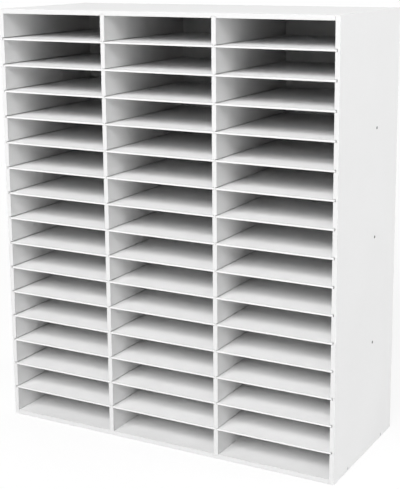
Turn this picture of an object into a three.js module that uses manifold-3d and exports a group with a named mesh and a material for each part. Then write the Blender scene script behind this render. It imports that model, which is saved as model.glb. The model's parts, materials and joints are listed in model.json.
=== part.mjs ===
// Pigeonhole mail sorter: a white board case in columns, with rows of thin shelves in grooves.
//
// Sizes are in millimetres. The case is drawn as it is seen from the front, with x across,
// y up and z towards the viewer. The last group turns it so that +Z is up and the open front
// looks along -Y. The origin is on the floor, under the middle of the case.

import * as THREE from "three";
import { mergeVertices } from "three/addons/utils/BufferGeometryUtils.js";
import Module from "manifold-3d";

// The case and its pigeonholes
const caseWidth = 737;
const caseDepth = 310;
const caseHeight = 864;
const columnNames = ["left", "middle", "right"];
const rowCount = 16;

// Boards, and the gap that a joint between two boards keeps
const sideThickness = 9.5;
const dividerThickness = 9.5;
const topThickness = 9.5;
const bottomThickness = 9.5;
const backThickness = 3.2;
const backInset = 1.5;
const fitGap = 0.3;

// Shelves, and the grooves that hold their ends
const shelfThickness = 3.2;
const shelfSetback = 0.5;
const shelfPlay = 2.2;
const shelfEndGap = 0.5;
const sideGrooveDepth = 5;
const dividerGrooveDepth = 3.2;
const fixedRows = [4, 8, 12];

// Housings in the top and bottom that hold the ends of the dividers
const housingDepth = 3.2;

// Countersunk screws through the sides into the ends of the bottom
const screwLength = 38;
const screwHeadDiameter = 6.5;
const screwHeadRim = 0.6;
const screwShankDiameter = 3.5;
const screwTipLength = 5;

// Dowels in blind holes between the sides and the ends of the top
const dowelLength = 25;
const dowelDiameter = 5;
const dowelChamfer = 0.8;
const dowelInSide = 6;

// Screws and dowels alike: distances from the front and rear edges, and sides of a round
const fixingFrontInset = 70;
const fixingRearInset = 57;
const roundFacets = 16;

// Places that the boards share
const sideX = caseWidth / 2;
const innerX = sideX - sideThickness;
const frontZ = caseDepth / 2;
const rearZ = -frontZ + backThickness + fitGap;
const floorY = bottomThickness;
const ceilingY = caseHeight - topThickness;

// Columns from left to right, and shelf rows from the top down
const dividerCount = columnNames.length - 1;
const columnWidth = (2 * innerX - dividerCount * dividerThickness) / columnNames.length;
const columnPitch = columnWidth + dividerThickness;
const rowPitch = (ceilingY - floorY + shelfThickness) / rowCount;
const columnX = (column) => -innerX + columnWidth / 2 + column * columnPitch;
const dividerX = (divider) => columnX(divider) + columnPitch / 2;
const shelfUndersideY = (row) => ceilingY - row * rowPitch;
const shelfRows = Array.from({ length: rowCount - 1 }, (_, index) => index + 1);

const wasm = await Module();
wasm.setup();

const whiteLaminate = () =>
  new THREE.MeshStandardMaterial({ color: 0xf2f2f0, roughness: 0.42, metalness: 0 });
const whiteHardboard = () =>
  new THREE.MeshStandardMaterial({ color: 0xededea, roughness: 0.55, metalness: 0 });
const zincSteel = () =>
  new THREE.MeshStandardMaterial({ color: 0x8f9194, roughness: 0.35, metalness: 1 });
const beech = () =>
  new THREE.MeshStandardMaterial({ color: 0xd6b98c, roughness: 0.7, metalness: 0 });

function solidFromGeometry(geometry) {
  const bare = geometry.clone();
  bare.deleteAttribute("normal");
  bare.deleteAttribute("uv");
  const merged = mergeVertices(bare);
  return new wasm.Manifold(
    new wasm.Mesh({
      numProp: 3,
      vertProperties: merged.attributes.position.array,
      triVerts: new Uint32Array(merged.index.array),
    }),
  );
}

function geometryFromSolid(solid) {
  const { vertProperties, triVerts } = solid.getMesh();
  const geometry = new THREE.BufferGeometry();
  geometry.setAttribute("position", new THREE.BufferAttribute(vertProperties, 3));
  geometry.setIndex(new THREE.BufferAttribute(triVerts, 1));
  geometry.computeVertexNormals();
  return geometry;
}

function cutAway(geometry, tools) {
  let solid = solidFromGeometry(geometry);
  for (const tool of tools) {
    solid = solid.subtract(solidFromGeometry(tool));
  }
  return geometryFromSolid(solid);
}

// End-on outline of a board, as points along its length and across its thickness.
// Each groove is a span of the length, cut in from the low face or from the high face.
function boardOutline([start, end], [low, high], lowGrooves, highGrooves, depth) {
  const notches = (grooves, face, bed) =>
    grooves.flatMap(([from, to]) => [[from, face], [from, bed], [to, bed], [to, face]]);
  return [
    [start, low],
    ...notches(lowGrooves, low, low + depth),
    [end, low],
    [end, high],
    ...notches(highGrooves, high, high - depth).reverse(),
    [start, high],
  ];
}

// A board of that outline, from the rear edge of the case to its front edge.
function extrudedBoard(points) {
  const shape = new THREE.Shape(points.map(([x, y]) => new THREE.Vector2(x, y)));
  const geometry = new THREE.ExtrudeGeometry(shape, { depth: frontZ - rearZ, bevelEnabled: false });
  return geometry.translate(0, 0, rearZ);
}

const uprightBoard = (points) => extrudedBoard(points.map(([y, x]) => [x, y]));

// Shelf grooves, bottom to top: each shelf rests just above its groove's floor.
const shelfGrooves = shelfRows.toReversed().map((row) => {
  const grooveFloorY = shelfUndersideY(row) - fitGap;
  return [grooveFloorY, grooveFloorY + shelfThickness + shelfPlay];
});

// Housings, left to right, a little wider than the dividers.
const dividerHousings = Array.from({ length: dividerCount }, (_, divider) => {
  const reach = dividerThickness / 2 + fitGap;
  return [dividerX(divider) - reach, dividerX(divider) + reach];
});

// One fixing for each end of a board, near the front and near the rear.
const fixingPlaces = (level, kind, y) =>
  [
    ["front", frontZ - fixingFrontInset],
    ["rear", rearZ + fixingRearInset],
  ].flatMap(([end, z]) =>
    [
      ["left", -1],
      ["right", 1],
    ].map(([side, hand]) => ({ name: `${side}_${level}_${end}_${kind}`, hand, y, z })),
  );
const screwPlaces = fixingPlaces("bottom", "screw", bottomThickness / 2);
const dowelPlaces = fixingPlaces("top", "dowel", caseHeight - topThickness / 2);

// A round piece along x, turned from points of radius and height; height 0 is at datumX.
function turnedPiece(profile, { hand, y, z }, datumX) {
  const points = profile.map(([radius, height]) => new THREE.Vector2(radius, height));
  const geometry = new THREE.LatheGeometry(points, roundFacets);
  geometry.rotateZ((-hand * Math.PI) / 2);
  return geometry.translate(hand * datumX, y, z);
}

// A screw with its head flush with the side, or the hole for it, larger by gap.
function screwGeometry(place, gap) {
  const headRadius = screwHeadDiameter / 2 + gap;
  const shankRadius = screwShankDiameter / 2 + gap;
  const profile = [
    [0, -screwLength - gap],
    [shankRadius, screwTipLength - screwLength - gap],
    [shankRadius, shankRadius - headRadius],
    [headRadius, 0],
    [headRadius, screwHeadRim + gap],
    [0, screwHeadRim + gap],
  ];
  return turnedPiece(profile, place, sideX - screwHeadRim);
}

// A dowel across the joint of a side and the top, or the hole for it, larger by gap.
function dowelGeometry(place, gap) {
  const radius = dowelDiameter / 2 + gap;
  const reach = dowelLength / 2 + gap;
  const profile = [
    [0, -reach],
    [radius - dowelChamfer, -reach],
    [radius, dowelChamfer - reach],
    [radius, reach - dowelChamfer],
    [radius - dowelChamfer, reach],
    [0, reach],
  ];
  return turnedPiece(profile, place, innerX + dowelInSide - dowelLength / 2);
}

const screwHoles = screwPlaces.map((place) => ({ ...place, hole: screwGeometry(place, fitGap) }));
const dowelHoles = dowelPlaces.map((place) => ({ ...place, hole: dowelGeometry(place, fitGap) }));
const cutters = (fixings) => fixings.map(({ hole }) => hole);

const standing = new THREE.Group();

function addPiece(name, geometry, material) {
  const mesh = new THREE.Mesh(geometry, material);
  mesh.name = name;
  standing.add(mesh);
  return mesh;
}

// Sides, grooved on their inner faces and drilled for the screws and dowels
for (const [name, hand] of [["left_side", -1], ["right_side", 1]]) {
  const faces = [hand * innerX, hand * sideX].sort((a, b) => a - b);
  const lowGrooves = hand > 0 ? shelfGrooves : [];
  const highGrooves = hand < 0 ? shelfGrooves : [];
  const outline = boardOutline([0, caseHeight], faces, lowGrooves, highGrooves, sideGrooveDepth);
  const ownHoles = [...screwHoles, ...dowelHoles].filter((fixing) => fixing.hand === hand);
  addPiece(name, cutAway(uprightBoard(outline), cutters(ownHoles)), whiteLaminate());
}

// Dividers, grooved on both faces, with their ends in the housings
for (let divider = 0; divider < dividerCount; divider += 1) {
  const ends = [floorY - housingDepth + fitGap, ceilingY + housingDepth - fitGap];
  const faces = [-1, 1].map((hand) => dividerX(divider) + hand * dividerThickness / 2);
  const outline = boardOutline(ends, faces, shelfGrooves, shelfGrooves, dividerGrooveDepth);
  const name = `${columnNames[divider]}_${columnNames[divider + 1]}_divider`;
  addPiece(name, uprightBoard(outline), whiteLaminate());
}

// Top and bottom, between the sides, with a housing for each divider
const acrossCase = [-innerX + fitGap, innerX - fitGap];
const topOutline = boardOutline(acrossCase, [ceilingY, caseHeight], dividerHousings, [], housingDepth);
addPiece("top_panel", cutAway(extrudedBoard(topOutline), cutters(dowelHoles)), whiteLaminate());
const bottomOutline = boardOutline(acrossCase, [0, floorY], [], dividerHousings, housingDepth);
addPiece("bottom_panel", cutAway(extrudedBoard(bottomOutline), cutters(screwHoles)), whiteLaminate());

// Back, laid on the rear edges of the other boards
const backWidth = caseWidth - 2 * backInset;
const backHeight = caseHeight - 2 * backInset;
const back = addPiece(
  "back_panel",
  new THREE.BoxGeometry(backWidth, backHeight, backThickness),
  whiteHardboard(),
);
back.position.set(0, caseHeight / 2, -frontZ + backThickness / 2);

// Shelves, with both ends in their grooves
const shelfWidth = columnWidth + 2 * (dividerGrooveDepth - shelfEndGap);
const shelfDepth = frontZ - shelfSetback - rearZ;
columnNames.forEach((columnName, column) => {
  for (const row of shelfRows) {
    const kind = fixedRows.includes(row) ? "fixed_shelf" : "shelf";
    const name = `${columnName}_${kind}_${String(row).padStart(2, "0")}`;
    const slab = new THREE.BoxGeometry(shelfWidth, shelfThickness, shelfDepth);
    const shelf = addPiece(name, slab, whiteHardboard());
    shelf.position.set(columnX(column), shelfUndersideY(row) + shelfThickness / 2, rearZ + shelfDepth / 2);
  }
});

// Screws and dowels
for (const place of screwPlaces) {
  addPiece(place.name, screwGeometry(place, 0), zincSteel());
}
for (const place of dowelPlaces) {
  addPiece(place.name, dowelGeometry(place, 0), beech());
}

standing.rotation.x = Math.PI / 2;

const mailSorter = new THREE.Group();
mailSorter.add(standing);

export default mailSorter;
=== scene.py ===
"""Finishes, small fasteners and studio for a white pigeonhole mail sorter."""

import json
import math

import bmesh
import bpy
from bpy.props import FloatProperty, FloatVectorProperty, IntProperty, PointerProperty
from mathutils import Matrix, Vector


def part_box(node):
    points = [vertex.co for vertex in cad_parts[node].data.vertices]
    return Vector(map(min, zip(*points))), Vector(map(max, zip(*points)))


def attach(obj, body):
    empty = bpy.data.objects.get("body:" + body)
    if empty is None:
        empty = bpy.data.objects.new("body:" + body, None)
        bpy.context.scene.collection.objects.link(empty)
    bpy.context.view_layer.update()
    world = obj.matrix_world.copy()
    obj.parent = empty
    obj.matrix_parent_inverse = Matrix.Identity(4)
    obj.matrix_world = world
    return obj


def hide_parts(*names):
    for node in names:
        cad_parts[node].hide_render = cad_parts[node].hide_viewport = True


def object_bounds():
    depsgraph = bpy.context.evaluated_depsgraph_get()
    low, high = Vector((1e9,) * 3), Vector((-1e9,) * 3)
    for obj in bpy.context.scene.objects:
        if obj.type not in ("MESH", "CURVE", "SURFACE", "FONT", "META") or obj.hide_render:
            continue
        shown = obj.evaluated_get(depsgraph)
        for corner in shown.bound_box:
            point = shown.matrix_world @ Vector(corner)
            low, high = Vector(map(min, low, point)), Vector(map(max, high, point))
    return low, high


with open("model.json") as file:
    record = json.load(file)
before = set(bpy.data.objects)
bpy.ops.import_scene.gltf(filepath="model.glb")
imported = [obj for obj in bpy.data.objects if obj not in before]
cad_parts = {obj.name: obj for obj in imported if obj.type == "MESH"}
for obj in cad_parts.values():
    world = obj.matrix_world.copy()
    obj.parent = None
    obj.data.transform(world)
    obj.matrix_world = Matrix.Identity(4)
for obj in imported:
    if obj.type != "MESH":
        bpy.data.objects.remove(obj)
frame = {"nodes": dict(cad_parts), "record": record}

bl_info = {
    "name": "Pigeonhole mail sorter",
    "version": (1, 0, 0),
    "blender": (4, 5, 0),
    "location": "3D View > Sidebar > Mail sorter",
    "description": "Finishes, small fasteners and studio for a white board mail sorter",
    "category": "Object",
}

CAD_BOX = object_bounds()
CASE_BODY = "case"
STEEL_SLOT = "screw_steel"
NODE_SLOTS = {part["node"]: part["material_slot"] for part in frame["record"]["subparts"]}

# The photograph's height in pixels, and the camera's sensor in millimetres
IMAGE_HEIGHT = 489
SENSOR_MM = 36.0

# The middle range of a noise's values
NOISE_LOW = 0.3
NOISE_HIGH = 0.7

# The glue seam behind an edge band
SEAM_HALF_WIDTH = 0.00009
SEAM_DARKENING = 0.12

# How little the flat paint on the hardboard shines
PAINT_SPECULAR = 0.2

# Boards: the gap that is closed, the bend that counts as flat and the bend that is eased
CLOSED_GAP = 0.000001
FLAT_BEND = math.radians(1.0)
EASED_BEND = math.radians(40.0)
EASED_STEPS = 2

# Fasteners: the bend that stays sharp, and the root, rim and dome of a small head
SHARP_BEND = math.radians(35.0)
HEAD_ROOT = 0.0004
HEAD_RIM_SHARE = 0.4
DOME_ANGLES = (0.0, 0.35, 0.7, 1.1)

# Screws: rings in a turn of thread, share of a turn that a ridge takes, plain and tapered parts
RINGS_PER_TURN = 8
RIDGE_SHARE = 0.5
PLAIN_NECK = 0.006
THREAD_RUNOUT = 0.0008
HEAD_CHAMFER = 0.0001
RECESS_TAPER = 0.62

# Floor: its size, its gap below the case, its grey as light on the case and its white as seen
FLOOR_RADIUS = 14.0
FLOOR_SIDES = 96
FLOOR_GAP = 0.0002
FLOOR_GREY = 0.50
FLOOR_WHITE = 0.95

# The floor's own glow, which leaves the shadow near the case and takes over where the shadow ends
GLOW_NEAR_CASE = 0.85
SHADOW_NEAR = 0.8
SHADOW_FAR = 3.2

# Distance of the lamps from the middle of the case
LAMP_DISTANCE = 8.0


class SorterFinish(bpy.types.PropertyGroup):
    """Colours and edges of the boards and the steel."""

    laminate: FloatVectorProperty(
        name="Laminate",
        description="White of the laminate on the case boards",
        subtype="COLOR",
        size=3,
        min=0.0,
        max=1.0,
        default=(0.83, 0.83, 0.83),
    )
    hardboard: FloatVectorProperty(
        name="Hardboard paint",
        description="White of the paint on the shelves and the back",
        subtype="COLOR",
        size=3,
        min=0.0,
        max=1.0,
        default=(0.86, 0.86, 0.86),
    )
    zinc: FloatVectorProperty(
        name="Zinc",
        description="Colour of the plating on the screws",
        subtype="COLOR",
        size=3,
        min=0.0,
        max=1.0,
        default=(0.66, 0.66, 0.67),
    )
    dark_steel: FloatVectorProperty(
        name="Dark steel",
        description="Colour of the pins and nails",
        subtype="COLOR",
        size=3,
        min=0.0,
        max=1.0,
        default=(0.10, 0.10, 0.105),
    )
    beech: FloatVectorProperty(
        name="Beech",
        description="Colour of the dowels hidden in the top corners",
        subtype="COLOR",
        size=3,
        min=0.0,
        max=1.0,
        default=(0.58, 0.40, 0.22),
    )
    board_arris: FloatProperty(
        name="Board arris",
        description="Width of the eased edge on the case boards",
        unit="LENGTH",
        min=0.0,
        default=0.0005,
    )
    shelf_arris: FloatProperty(
        name="Shelf arris",
        description="Width of the eased edge on the shelves and the back",
        unit="LENGTH",
        min=0.0,
        default=0.0004,
    )
    band_thickness: FloatProperty(
        name="Edge band",
        description="Thickness of the band glued on the boards' front edges",
        unit="LENGTH",
        min=0.0,
        default=0.0012,
    )
    # Painted shade: the edge band on the boards' front edges is darkened to offset the strong front light on
    # them
    band_painted_shade: FloatProperty(
        name="Edge band shade",
        description="Brightness of the band beside the laminate on the faces",
        subtype="FACTOR",
        min=0.0,
        max=1.0,
        default=0.88,
    )
    # Painted shade: the shelves' front edges are darkened so that the strong front light does not clip them
    # to white
    shelf_edge_painted_shade: FloatProperty(
        name="Shelf edge shade",
        description="Brightness of the shelves' front edges beside their faces",
        subtype="FACTOR",
        min=0.0,
        max=1.0,
        default=0.94,
    )


class SorterFasteners(bpy.types.PropertyGroup):
    """Sizes and places of the screws, pins and nails."""

    screw_rim: FloatProperty(
        name="Screw rim",
        description="Height of the straight rim of a screw's head",
        unit="LENGTH",
        default=0.0006,
    )
    screw_shank: FloatProperty(
        name="Screw shank",
        description="Diameter of a screw over its thread",
        unit="LENGTH",
        default=0.0035,
    )
    screw_tip: FloatProperty(
        name="Screw tip",
        description="Length of a screw's point",
        unit="LENGTH",
        default=0.0050,
    )
    thread_depth: FloatProperty(
        name="Thread depth",
        description="Depth of a screw's thread",
        unit="LENGTH",
        default=0.0005,
    )
    thread_pitch: FloatProperty(
        name="Thread pitch",
        description="Distance from one turn of a screw's thread to the next",
        unit="LENGTH",
        default=0.0016,
    )
    recess_span: FloatProperty(
        name="Recess span",
        description="Width of the cross recess in a screw's head",
        unit="LENGTH",
        default=0.0036,
    )
    recess_slot: FloatProperty(
        name="Recess slot",
        description="Width of one arm of the cross recess",
        unit="LENGTH",
        default=0.0010,
    )
    recess_depth: FloatProperty(
        name="Recess depth",
        description="Depth of the cross recess",
        unit="LENGTH",
        default=0.0012,
    )
    pin_head: FloatProperty(
        name="Pin head",
        description="Diameter of the heads of the pins that hold the fixed shelves",
        unit="LENGTH",
        default=0.0056,
    )
    pin_rise: FloatProperty(
        name="Pin rise",
        description="Height of a pin's head above the side",
        unit="LENGTH",
        default=0.0005,
    )
    pin_setback: FloatProperty(
        name="Pin setback",
        description="Distance of the pins from the front edge of the case",
        unit="LENGTH",
        default=0.190,
    )
    nail_head: FloatProperty(
        name="Nail head",
        description="Diameter of the heads of the nails in the back",
        unit="LENGTH",
        default=0.0034,
    )
    nail_rise: FloatProperty(
        name="Nail rise",
        description="Height of a nail's head above the back",
        unit="LENGTH",
        default=0.0003,
    )
    nail_spacing: FloatProperty(
        name="Nail spacing",
        description="Largest distance between two nails in the back",
        unit="LENGTH",
        default=0.110,
    )
    head_facets: IntProperty(
        name="Head facets",
        description="Sides of a round head",
        min=8,
        default=24,
    )


class SorterStudio(bpy.types.PropertyGroup):
    """Camera and light."""

    camera_place: FloatVectorProperty(
        name="Camera place",
        description="Where the camera stands",
        subtype="TRANSLATION",
        unit="LENGTH",
        size=3,
        default=(1.1097, -1.9977, 0.9653),
    )
    camera_turn: FloatProperty(
        name="Camera turn",
        description="How far the camera turns left of straight at the front",
        subtype="ANGLE",
        default=math.radians(28.94),
    )
    camera_tilt: FloatProperty(
        name="Camera tilt",
        description="How far the camera looks down",
        subtype="ANGLE",
        default=math.radians(10.99),
    )
    camera_roll: FloatProperty(
        name="Camera roll",
        description="How far the camera leans to the right",
        subtype="ANGLE",
        default=math.radians(0.47),
    )
    focal_pixels: FloatProperty(
        name="Focal length",
        description="Focal length in pixels of the photograph",
        subtype="PIXEL",
        default=1143.6,
    )
    axis_height: FloatProperty(
        name="Axis height",
        description="Row of the photograph that the lens points at, in pixels from its top",
        subtype="PIXEL",
        default=178.0,
    )
    front_light: FloatProperty(
        name="Front light",
        description="Power of the wide soft lamp in front",
        unit="POWER",
        min=0.0,
        default=790.0,
    )
    corner_light: FloatProperty(
        name="Corner light",
        description="Power of the soft lamp off the front right corner",
        unit="POWER",
        min=0.0,
        default=72.0,
    )
    right_light: FloatProperty(
        name="Right light",
        description="Power of the soft lamp on the right",
        unit="POWER",
        min=0.0,
        default=350.0,
    )
    rear_light: FloatProperty(
        name="Rear light",
        description="Power of the soft lamp behind and to the left",
        unit="POWER",
        min=0.0,
        default=450.0,
    )
    room_light: FloatProperty(
        name="Room light",
        description="Strength of the even light from all round",
        min=0.0,
        default=0.05,
    )


class NodeGraph:
    """A material's or world's nodes, with short calls to add and join them."""

    def __init__(self, tree):
        self.tree = tree

    def add(self, kind, inputs=None, **settings):
        """A new node with its settings and inputs."""
        node = self.tree.nodes.new(kind)
        for name, value in settings.items():
            setattr(node, name, value)
        for key, value in (inputs or {}).items():
            self.feed(node.inputs[key], value)
        return node

    def feed(self, socket, value):
        """Joins a node's output to the socket, or sets a plain value on it."""
        if isinstance(value, bpy.types.NodeSocket):
            self.tree.links.new(value, socket)
        else:
            socket.default_value = value

    def math(self, operation, *values):
        """The result of the operation on the values."""
        node = self.add("ShaderNodeMath", operation=operation)
        for socket, value in zip(node.inputs, values):
            self.feed(socket, value)
        return node.outputs["Value"]

    def product(self, first, second):
        """One value times the other."""
        return self.math("MULTIPLY", first, second)

    def noise(self, place, scale, detail, roughness=0.5):
        """A noise over the place, from 0 to 1."""
        inputs = {"Vector": place, "Scale": scale, "Detail": detail, "Roughness": roughness}
        return self.add("ShaderNodeTexNoise", inputs).outputs["Fac"]

    def mapped(self, value, span, ends, **settings):
        """The value, changed so that the span's ends give the new ends."""
        inputs = {"Value": value, "From Min": span[0], "From Max": span[1]}
        inputs.update({"To Min": ends[0], "To Max": ends[1]})
        return self.add("ShaderNodeMapRange", inputs, **settings).outputs["Result"]

    def spread(self, noise, at_low, at_high):
        """The noise, changed so that its low and high values give these."""
        return self.mapped(noise, (NOISE_LOW, NOISE_HIGH), (at_low, at_high))

    def shade(self, colour, value):
        """The colour, made darker or lighter all over by the value."""
        tint = self.add("ShaderNodeVectorMath", {0: (*colour,), "Scale": value}, operation="SCALE")
        return tint.outputs["Vector"]

    def depth(self, place):
        """How far back a point lies."""
        return self.add("ShaderNodeSeparateXYZ", {"Vector": place}).outputs["Y"]

    def shade_below(self, value, limit, shade):
        """The shade where the value is below the limit, and 1 elsewhere."""
        below = self.math("LESS_THAN", value, limit)
        return self.math("MULTIPLY_ADD", below, shade - 1.0, 1.0)

    def bump(self, height, strength, distance):
        """The direction of a surface that rises and falls with the height."""
        inputs = {"Height": height, "Strength": strength, "Distance": distance}
        return self.add("ShaderNodeBump", inputs).outputs["Normal"]

    def stretched(self, place, scale):
        """The place, stretched along its axes."""
        return self.add("ShaderNodeMapping", {"Vector": place, "Scale": scale}).outputs["Vector"]


def new_finish(name):
    """A material, its node graph, its shader and the place of a point on the piece."""
    material = bpy.data.materials.new(name)
    material.use_nodes = True
    graph = NodeGraph(material.node_tree)
    shader = material.node_tree.nodes["Principled BSDF"]
    place = graph.add("ShaderNodeTexCoord").outputs["Object"]
    return material, graph, shader, place


def laminate_finish(settings):
    """Satin white laminate: faint clouding, a fine pebbled surface and a front edge band darkened as painted
    shade against the strong front light.
    """
    material, graph, shader, place = new_finish("white_laminate")
    clouds = graph.noise(place, scale=5.0, detail=4.0, roughness=0.6)
    specks = graph.noise(place, scale=420.0, detail=2.0)
    pebbles = graph.noise(place, scale=1500.0, detail=2.0, roughness=0.6)

    depth = graph.depth(place)
    seam = CAD_BOX[0].y + settings.band_thickness
    from_seam = graph.math("ABSOLUTE", graph.math("SUBTRACT", depth, seam))
    seam_shade = graph.shade_below(from_seam, SEAM_HALF_WIDTH, 1.0 - SEAM_DARKENING)
    # Painted shade: the band on the front edges is darkened to offset the strong front light; the seam line
    # beside it is a real glue joint
    band_painted_shade = graph.shade_below(depth, seam, settings.band_painted_shade)
    edge_darkening_with_painted_shade = graph.product(seam_shade, band_painted_shade)

    clouding = graph.spread(clouds, at_low=0.985, at_high=1.015)
    speckling = graph.spread(specks, at_low=0.988, at_high=1.012)
    shade = graph.product(graph.product(clouding, speckling), edge_darkening_with_painted_shade)
    graph.feed(shader.inputs["Base Color"], graph.shade(settings.laminate, shade))
    graph.feed(shader.inputs["Roughness"], graph.spread(clouds, at_low=0.42, at_high=0.52))
    graph.feed(shader.inputs["Normal"], graph.bump(pebbles, strength=0.10, distance=0.0001))
    return material


def hardboard_finish(settings):
    """White painted hardboard: short pressed fibres under flat paint, duller than the laminate, with painted
    shade on the shelves' front edges.
    """
    material, graph, shader, place = new_finish("painted_hardboard")
    clouds = graph.noise(place, scale=9.0, detail=4.0, roughness=0.6)
    fibres = graph.noise(graph.stretched(place, (1.0, 0.25, 1.0)), scale=700.0, detail=3.0, roughness=0.7)
    rolled = graph.noise(place, scale=1100.0, detail=2.0)

    # Painted shade: the shelves' front edges are darkened against the strong front light
    front = min(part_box(board.name)[0].y for board in nodes_with_slot("thin_board"))
    edge = front + settings.shelf_arris
    edge_darkening_with_painted_shade = graph.shade_below(graph.depth(place), edge, settings.shelf_edge_painted_shade)

    clouding = graph.spread(clouds, at_low=0.985, at_high=1.012)
    mottling = graph.spread(fibres, at_low=0.985, at_high=1.01)
    shade = graph.product(graph.product(clouding, mottling), edge_darkening_with_painted_shade)
    graph.feed(shader.inputs["Base Color"], graph.shade(settings.hardboard, shade))
    graph.feed(shader.inputs["Roughness"], graph.spread(fibres, at_low=0.55, at_high=0.68))
    shader.inputs["Specular IOR Level"].default_value = PAINT_SPECULAR
    relief = graph.math("ADD", fibres, rolled)
    graph.feed(shader.inputs["Normal"], graph.bump(relief, strength=0.12, distance=0.0001))
    return material


def steel_finish(name, colour):
    """Dull steel with fine turning marks and a little uneven tarnish."""
    material, graph, shader, place = new_finish(name)
    tarnish = graph.noise(place, scale=900.0, detail=3.0, roughness=0.6)
    marks = graph.noise(graph.stretched(place, (1.0, 6.0, 1.0)), scale=2400.0, detail=2.0)
    shade = graph.spread(tarnish, at_low=0.75, at_high=1.15)
    graph.feed(shader.inputs["Base Color"], graph.shade(colour, shade))
    graph.feed(shader.inputs["Roughness"], graph.spread(tarnish, at_low=0.34, at_high=0.52))
    shader.inputs["Metallic"].default_value = 1.0
    graph.feed(shader.inputs["Normal"], graph.bump(marks, strength=0.15, distance=0.00005))
    return material


def dark_steel(settings):
    """The one finish that the pins and the nails share."""
    name = "dark_steel"
    return bpy.data.materials.get(name) or steel_finish(name, settings.dark_steel)


def beech_finish(settings):
    """Plain beech: fine grain along the dowel and short dark flecks."""
    material, graph, shader, place = new_finish("plain_beech")
    grain = graph.noise(graph.stretched(place, (0.08, 1.0, 1.0)), scale=1200.0, detail=3.0, roughness=0.6)
    flecks = graph.noise(graph.stretched(place, (0.3, 1.0, 1.0)), scale=2600.0, detail=1.0)
    grain_shade = graph.spread(grain, at_low=0.85, at_high=1.10)
    fleck_shade = graph.spread(flecks, at_low=1.05, at_high=0.88)
    shade = graph.product(grain_shade, fleck_shade)
    graph.feed(shader.inputs["Base Color"], graph.shade(settings.beech, shade))
    graph.feed(shader.inputs["Roughness"], graph.spread(grain, at_low=0.60, at_high=0.75))
    graph.feed(shader.inputs["Normal"], graph.bump(grain, strength=0.2, distance=0.0001))
    return material


def set_finish(piece, material):
    piece.data.materials.clear()
    piece.data.materials.append(material)


def ease_edges(piece, width):
    """Rounds a board's sharp edges a little, once its triangles are joined into whole flat faces."""
    piece.modifiers.new("joined_corners", "WELD").merge_threshold = CLOSED_GAP
    whole = piece.modifiers.new("whole_faces", "DECIMATE")
    whole.decimate_type = "DISSOLVE"
    whole.angle_limit = FLAT_BEND
    arris = piece.modifiers.new("eased_edges", "BEVEL")
    arris.width = width
    arris.segments = EASED_STEPS
    arris.limit_method = "ANGLE"
    arris.angle_limit = EASED_BEND
    arris.use_clamp_overlap = False
    arris.loop_slide = False
    piece.modifiers.new("even_shading", "WEIGHTED_NORMAL")


def nodes_with_slot(slot):
    return [frame["nodes"][name] for name, own_slot in NODE_SLOTS.items() if own_slot == slot]


def add_ring(shape, facets, height, radius_at):
    """Adds a ring of points round Z, with a radius for each angle."""
    ring = []
    for step in range(facets):
        angle = 2.0 * math.pi * step / facets
        radius = radius_at(angle)
        ring.append(shape.verts.new((radius * math.cos(angle), radius * math.sin(angle), height)))
    return ring


def even(radius):
    """The same radius at every angle."""
    return lambda angle: radius


def join_rings(shape, rings):
    """Joins each ring to the next; a ring of one point makes a cone or a flat end."""
    facets = max(len(ring) for ring in rings)
    for lower, upper in zip(rings, rings[1:]):
        for step in range(facets):
            corners = [lower[step % len(lower)], lower[(step + 1) % len(lower)]]
            corners += [upper[(step + 1) % len(upper)], upper[step % len(upper)]]
            shape.faces.new(list(dict.fromkeys(corners)))


def turned_head(diameter, rise, facets):
    """A low domed head on a surface at height 0, with a short root below it."""
    radius = diameter / 2.0
    rim = rise * HEAD_RIM_SHARE
    profile = [(radius, -HEAD_ROOT)]
    for angle in DOME_ANGLES:
        profile.append((radius * math.cos(angle), rim + (rise - rim) * math.sin(angle)))
    shape = bmesh.new()
    rings = [[shape.verts.new((0.0, 0.0, -HEAD_ROOT))]]
    rings += [add_ring(shape, facets, height, even(reach)) for reach, height in profile]
    rings.append([shape.verts.new((0.0, 0.0, rise))])
    join_rings(shape, rings)
    bmesh.ops.recalc_face_normals(shape, faces=shape.faces)
    return shape


def cross_outline(span, slot):
    """Corners of a cross, in order."""
    far, near = span / 2.0, slot / 2.0
    quarter = [(far, near), (near, near), (near, far)]
    backwards = quarter[::-1]
    quarters = ((quarter, 1, 1), (backwards, -1, 1), (quarter, -1, -1), (backwards, 1, -1))
    return [(x * right, y * up) for corners, right, up in quarters for x, y in corners]


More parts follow.
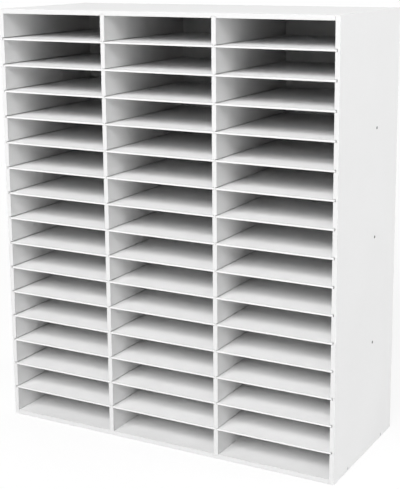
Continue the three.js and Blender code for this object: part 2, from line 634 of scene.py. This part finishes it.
def wood_screw(length, head_diameter, sizes):
    """A countersunk screw along Z, its head's face at height 0, with a thread and a cross recess."""
    head = head_diameter / 2.0
    rim = sizes.screw_rim
    crest = sizes.screw_shank / 2.0
    core = crest - sizes.thread_depth
    facets = sizes.head_facets
    neck = -rim - (head - crest)
    thread_end = -length + sizes.screw_tip
    shape = bmesh.new()

    # Point and thread, from the tip up
    rings = [[shape.verts.new((0.0, 0.0, -length))]]
    count = int((neck - PLAIN_NECK - thread_end) / sizes.thread_pitch * RINGS_PER_TURN)
    for step in range(count + 1):
        turns = step / RINGS_PER_TURN
        swell = min(1.0, turns, (count - step) / RINGS_PER_TURN)

        def radius_at(angle, turns=turns, swell=swell):
            phase = (turns - angle / (2.0 * math.pi)) % 1.0
            ridge = max(0.0, 1.0 - abs(phase - 0.5) / (RIDGE_SHARE / 2.0))
            return core + sizes.thread_depth * ridge * swell

        rings.append(add_ring(shape, facets, thread_end + turns * sizes.thread_pitch, radius_at))

    # Plain neck and countersunk head
    plain = thread_end + count / RINGS_PER_TURN * sizes.thread_pitch + THREAD_RUNOUT
    upper = [(crest, plain), (crest, neck), (head, -rim)]
    upper += [(head, -HEAD_CHAMFER), (head - HEAD_CHAMFER, 0.0)]
    for radius, height in upper:
        rings.append(add_ring(shape, facets, height, even(radius)))
    join_rings(shape, rings)

    # Flat face of the head, round a cross recess that narrows towards its floor
    outline = cross_outline(sizes.recess_span, sizes.recess_slot)
    mouth = [shape.verts.new((x, y, 0.0)) for x, y in outline]
    bed = [shape.verts.new((x * RECESS_TAPER, y * RECESS_TAPER, -sizes.recess_depth)) for x, y in outline]
    face_rim = rings[-1]
    rim_edges = [shape.edges.get(pair) for pair in zip(face_rim, face_rim[1:] + face_rim[:1])]
    mouth_edges = [shape.edges.new(pair) for pair in zip(mouth, mouth[1:] + mouth[:1])]
    bmesh.ops.triangle_fill(shape, edges=rim_edges + mouth_edges, use_beauty=True, normal=(0.0, 0.0, 1.0))
    join_rings(shape, [mouth, bed])
    shape.faces.new(bed)
    bmesh.ops.recalc_face_normals(shape, faces=shape.faces)
    return shape


def place_at(shape, spot, normal):
    """Turns the mesh's Z axis to the normal and moves its origin to the spot."""
    turn = Vector(normal).to_track_quat("Z", "Y").to_matrix().to_4x4()
    bmesh.ops.transform(shape, matrix=Matrix.Translation(spot) @ turn, verts=shape.verts)


def piece_from(name, shape, material):
    """A piece with the mesh and the material, smooth but for its sharp edges."""
    mesh = bpy.data.meshes.new(name)
    shape.to_mesh(mesh)
    shape.free()
    mesh.materials.append(material)
    mesh.shade_smooth()
    mesh.set_sharp_from_angle(angle=SHARP_BEND)
    piece = bpy.data.objects.new(name, mesh)
    bpy.context.scene.collection.objects.link(piece)
    return piece


class SORTER_OT_finish_case_boards(bpy.types.Operator):
    """Gives the sides, dividers, top and bottom their laminate and eased edges."""

    bl_idname = "sorter.finish_case_boards"
    bl_label = "Finish the case boards"

    def execute(self, context):
        settings = context.scene.sorter_finish
        laminate = laminate_finish(settings)
        for board in nodes_with_slot("case_board"):
            set_finish(board, laminate)
            ease_edges(board, settings.board_arris)
        return {"FINISHED"}


class SORTER_OT_finish_thin_boards(bpy.types.Operator):
    """Gives the shelves and the back their paint and eased edges."""

    bl_idname = "sorter.finish_thin_boards"
    bl_label = "Finish the shelves and the back"

    def execute(self, context):
        settings = context.scene.sorter_finish
        hardboard = hardboard_finish(settings)
        for board in nodes_with_slot("thin_board"):
            set_finish(board, hardboard)
            ease_edges(board, settings.shelf_arris)
        return {"FINISHED"}


class SORTER_OT_finish_dowels(bpy.types.Operator):
    """Gives the dowels in the top corners their beech."""

    bl_idname = "sorter.finish_dowels"
    bl_label = "Finish the dowels"

    def execute(self, context):
        beech = beech_finish(context.scene.sorter_finish)
        for dowel in nodes_with_slot("dowel_wood"):
            set_finish(dowel, beech)
        return {"FINISHED"}


class SORTER_OT_make_screws(bpy.types.Operator):
    """Makes the threaded screws with cross recesses that hold the bottom."""

    bl_idname = "sorter.make_screws"
    bl_label = "Make the screws"

    def execute(self, context):
        sizes = context.scene.sorter_fasteners
        zinc = steel_finish("zinc_plate", context.scene.sorter_finish.zinc)
        for node in nodes_with_slot(STEEL_SLOT):
            set_finish(node, zinc)
            low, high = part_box(node.name)
            centre = (low + high) / 2.0
            hand = math.copysign(1.0, centre.x)
            outer = max(abs(low.x), abs(high.x)) * hand
            shape = wood_screw(high.x - low.x, high.z - low.z, sizes)
            place_at(shape, (outer, centre.y, centre.z), (hand, 0.0, 0.0))
            screw = piece_from(f"{node.name}_threaded", shape, zinc)
            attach(screw, CASE_BODY)
            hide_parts(node.name)
        return {"FINISHED"}


class SORTER_OT_make_shelf_pins(bpy.types.Operator):
    """Makes the pins through the sides that hold the fixed shelves."""

    bl_idname = "sorter.make_shelf_pins"
    bl_label = "Make the shelf pins"

    def execute(self, context):
        sizes = context.scene.sorter_fasteners
        steel = dark_steel(context.scene.sorter_finish)
        for side, hand in (("left", -1.0), ("right", 1.0)):
            for name in sorted(node for node in NODE_SLOTS if node.startswith(f"{side}_fixed_shelf")):
                low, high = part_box(name)
                spot = (CAD_BOX[1].x * hand, CAD_BOX[0].y + sizes.pin_setback, (low.z + high.z) / 2.0)
                head = turned_head(sizes.pin_head, sizes.pin_rise, sizes.head_facets)
                place_at(head, spot, (hand, 0.0, 0.0))
                pin = piece_from(name.replace("fixed_shelf", "shelf_pin"), head, steel)
                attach(pin, CASE_BODY)
        return {"FINISHED"}


class SORTER_OT_make_back_nails(bpy.types.Operator):
    """Makes the nails that hold the back to the sides, dividers, top and bottom."""

    bl_idname = "sorter.make_back_nails"
    bl_label = "Make the nails in the back"

    def execute(self, context):
        sizes = context.scene.sorter_fasteners
        steel = dark_steel(context.scene.sorter_finish)
        for board in ("left_side", "left_middle_divider", "middle_right_divider", "right_side"):
            low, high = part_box(board)
            self.make_row(f"{board}_nails", sizes, steel, low, high, "z")
        for board in ("top_panel", "bottom_panel"):
            low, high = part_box(board)
            self.make_row(f"{board}_nails", sizes, steel, low, high, "x")
        return {"FINISHED"}

    def make_row(self, name, sizes, steel, low, high, along):
        """One row of nails down the middle of a board's rear edge, evenly spaced."""
        length = getattr(high - low, along)
        count = math.ceil(length / sizes.nail_spacing)
        row = bmesh.new()
        for step in range(count):
            spot = (low + high) / 2.0
            spot.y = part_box("back_panel")[1].y
            setattr(spot, along, getattr(low, along) + length * (step + 0.5) / count)
            nail = turned_head(sizes.nail_head, sizes.nail_rise, sizes.head_facets)
            place_at(nail, spot, (0.0, 1.0, 0.0))
            mesh = bpy.data.meshes.new("one_nail")
            nail.to_mesh(mesh)
            nail.free()
            row.from_mesh(mesh)
            bpy.data.meshes.remove(mesh)
        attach(piece_from(name, row, steel), CASE_BODY)


class SORTER_OT_make_studio(bpy.types.Operator):
    """Makes the pale floor, the soft light, the white background and the camera."""

    bl_idname = "sorter.make_studio"
    bl_label = "Make the studio"

    def execute(self, context):
        scene = context.scene
        studio = scene.sorter_studio
        scene.view_settings.view_transform = "Standard"
        self.make_world(scene, studio)
        self.make_floor()
        self.make_lamp("front_lamp", studio.front_light, bearing=0.0, rise=36.0, size=(8.0, 3.6))
        corner = self.make_lamp("corner_lamp", studio.corner_light, bearing=50.0, rise=24.0, size=(4.0, 4.0))
        self.make_lamp("right_lamp", studio.right_light, bearing=105.0, rise=22.0, size=(4.0, 4.0))
        rear = self.make_lamp("rear_lamp", studio.rear_light, bearing=228.0, rise=3.0, size=(4.0, 1.4))
        # The two fill lamps leave no highlights of their own
        for fill in (corner, rear):
            fill.visible_glossy = False
        self.make_camera(scene, studio)
        return {"FINISHED"}

    def seen_directly(self, graph):
        """1 for what the camera, a reflection or a clear piece shows, and 0 for light on a surface."""
        path = graph.add("ShaderNodeLightPath").outputs
        shown = graph.math("MAXIMUM", path["Is Camera Ray"], path["Is Glossy Ray"])
        return graph.math("MAXIMUM", shown, path["Is Transmission Ray"])

    def make_world(self, scene, studio):
        world = bpy.data.worlds.new("white_studio")
        world.use_nodes = True
        scene.world = world
        graph = NodeGraph(world.node_tree)
        background = world.node_tree.nodes["Background"]
        background.inputs["Color"].default_value = (1.0, 1.0, 1.0, 1.0)
        shown = self.seen_directly(graph)
        room = studio.room_light
        graph.feed(background.inputs["Strength"], graph.math("MULTIPLY_ADD", shown, 1.0 - room, room))

    def floor_finish(self):
        """Grey to the light, and white to the eye but for the shadow near the case."""
        material, graph, shader, place = new_finish("pale_floor")
        nodes = material.node_tree.nodes
        nodes.remove(shader)
        shown = self.seen_directly(graph)
        grey = graph.math("MULTIPLY_ADD", shown, FLOOR_WHITE - FLOOR_GREY, FLOOR_GREY)
        paint = graph.add("ShaderNodeBsdfDiffuse", {"Color": grey})
        glow = graph.add("ShaderNodeEmission", {"Color": (1.0, 1.0, 1.0, 1.0), "Strength": 1.0})
        reach = graph.add("ShaderNodeVectorMath", {0: place}, operation="LENGTH").outputs["Value"]
        span = (SHADOW_NEAR, SHADOW_FAR)
        white = graph.mapped(reach, span, (GLOW_NEAR_CASE, 1.0), interpolation_type="SMOOTHSTEP")
        share = graph.product(shown, white)
        mixed = graph.add("ShaderNodeMixShader", {0: share, 1: paint.outputs[0], 2: glow.outputs[0]})
        graph.feed(nodes["Material Output"].inputs["Surface"], mixed.outputs[0])
        return material

    def make_floor(self):
        shape = bmesh.new()
        bmesh.ops.create_circle(shape, cap_ends=True, segments=FLOOR_SIDES, radius=FLOOR_RADIUS)
        floor = piece_from("floor", shape, self.floor_finish())
        floor.location.z = CAD_BOX[0].z - FLOOR_GAP

    def make_lamp(self, name, power, bearing, rise, size):
        """A soft lamp; bearing is from straight in front towards the right, and rise is from level."""
        light = bpy.data.lights.new(name, "AREA")
        light.shape = "RECTANGLE"
        light.size, light.size_y = size
        light.energy = power
        lamp = bpy.data.objects.new(name, light)
        bearing, rise = math.radians(bearing), math.radians(rise)
        flat = math.cos(rise)
        towards = Vector((math.sin(bearing) * flat, -math.cos(bearing) * flat, math.sin(rise)))
        lamp.location = (CAD_BOX[0] + CAD_BOX[1]) / 2.0 + towards * LAMP_DISTANCE
        lamp.rotation_mode = "QUATERNION"
        lamp.rotation_quaternion = towards.to_track_quat("Z", "Y")
        lamp.visible_camera = False
        bpy.context.scene.collection.objects.link(lamp)
        return lamp

    def make_camera(self, scene, studio):
        lens = bpy.data.cameras.new("photo_camera")
        lens.sensor_width = SENSOR_MM
        lens.lens = studio.focal_pixels * SENSOR_MM / IMAGE_HEIGHT
        lens.shift_y = (studio.axis_height - IMAGE_HEIGHT / 2.0) / IMAGE_HEIGHT
        camera = bpy.data.objects.new("photo_camera", lens)
        turn = Matrix.Rotation(studio.camera_turn, 4, "Z")
        tilt = Matrix.Rotation(math.pi / 2.0 - studio.camera_tilt, 4, "X")
        roll = Matrix.Rotation(-studio.camera_roll, 4, "Z")
        camera.matrix_world = Matrix.Translation(studio.camera_place) @ turn @ tilt @ roll
        scene.collection.objects.link(camera)
        scene.camera = camera


class SORTER_PT_build(bpy.types.Panel):
    """Lists the steps and the sizes and colours that can be changed."""

    bl_label = "Mail sorter"
    bl_idname = "SORTER_PT_build"
    bl_space_type = "VIEW_3D"
    bl_region_type = "UI"
    bl_category = "Mail sorter"

    def draw(self, context):
        for step in STEPS:
            self.layout.operator(step.bl_idname)
        scene = context.scene
        for group in (scene.sorter_finish, scene.sorter_fasteners, scene.sorter_studio):
            box = self.layout.box()
            for name in group.__annotations__:
                box.prop(group, name)


SETTINGS = (SorterFinish, SorterFasteners, SorterStudio)
STEPS = (
    SORTER_OT_finish_case_boards,
    SORTER_OT_finish_thin_boards,
    SORTER_OT_finish_dowels,
    SORTER_OT_make_screws,
    SORTER_OT_make_shelf_pins,
    SORTER_OT_make_back_nails,
    SORTER_OT_make_studio,
)
CLASSES = (*SETTINGS, *STEPS, SORTER_PT_build)


def register():
    for each_class in CLASSES:
        bpy.utils.register_class(each_class)
    bpy.types.Scene.sorter_finish = PointerProperty(type=SorterFinish)
    bpy.types.Scene.sorter_fasteners = PointerProperty(type=SorterFasteners)
    bpy.types.Scene.sorter_studio = PointerProperty(type=SorterStudio)


def unregister():
    del bpy.types.Scene.sorter_studio
    del bpy.types.Scene.sorter_fasteners
    del bpy.types.Scene.sorter_finish
    for each_class in reversed(CLASSES):
        bpy.utils.unregister_class(each_class)


def main():
    register()
    bpy.ops.sorter.finish_case_boards()
    bpy.ops.sorter.finish_thin_boards()
    bpy.ops.sorter.finish_dowels()
    bpy.ops.sorter.make_screws()
    bpy.ops.sorter.make_shelf_pins()
    bpy.ops.sorter.make_back_nails()
    bpy.ops.sorter.make_studio()


if __name__ == "__main__":
    main()
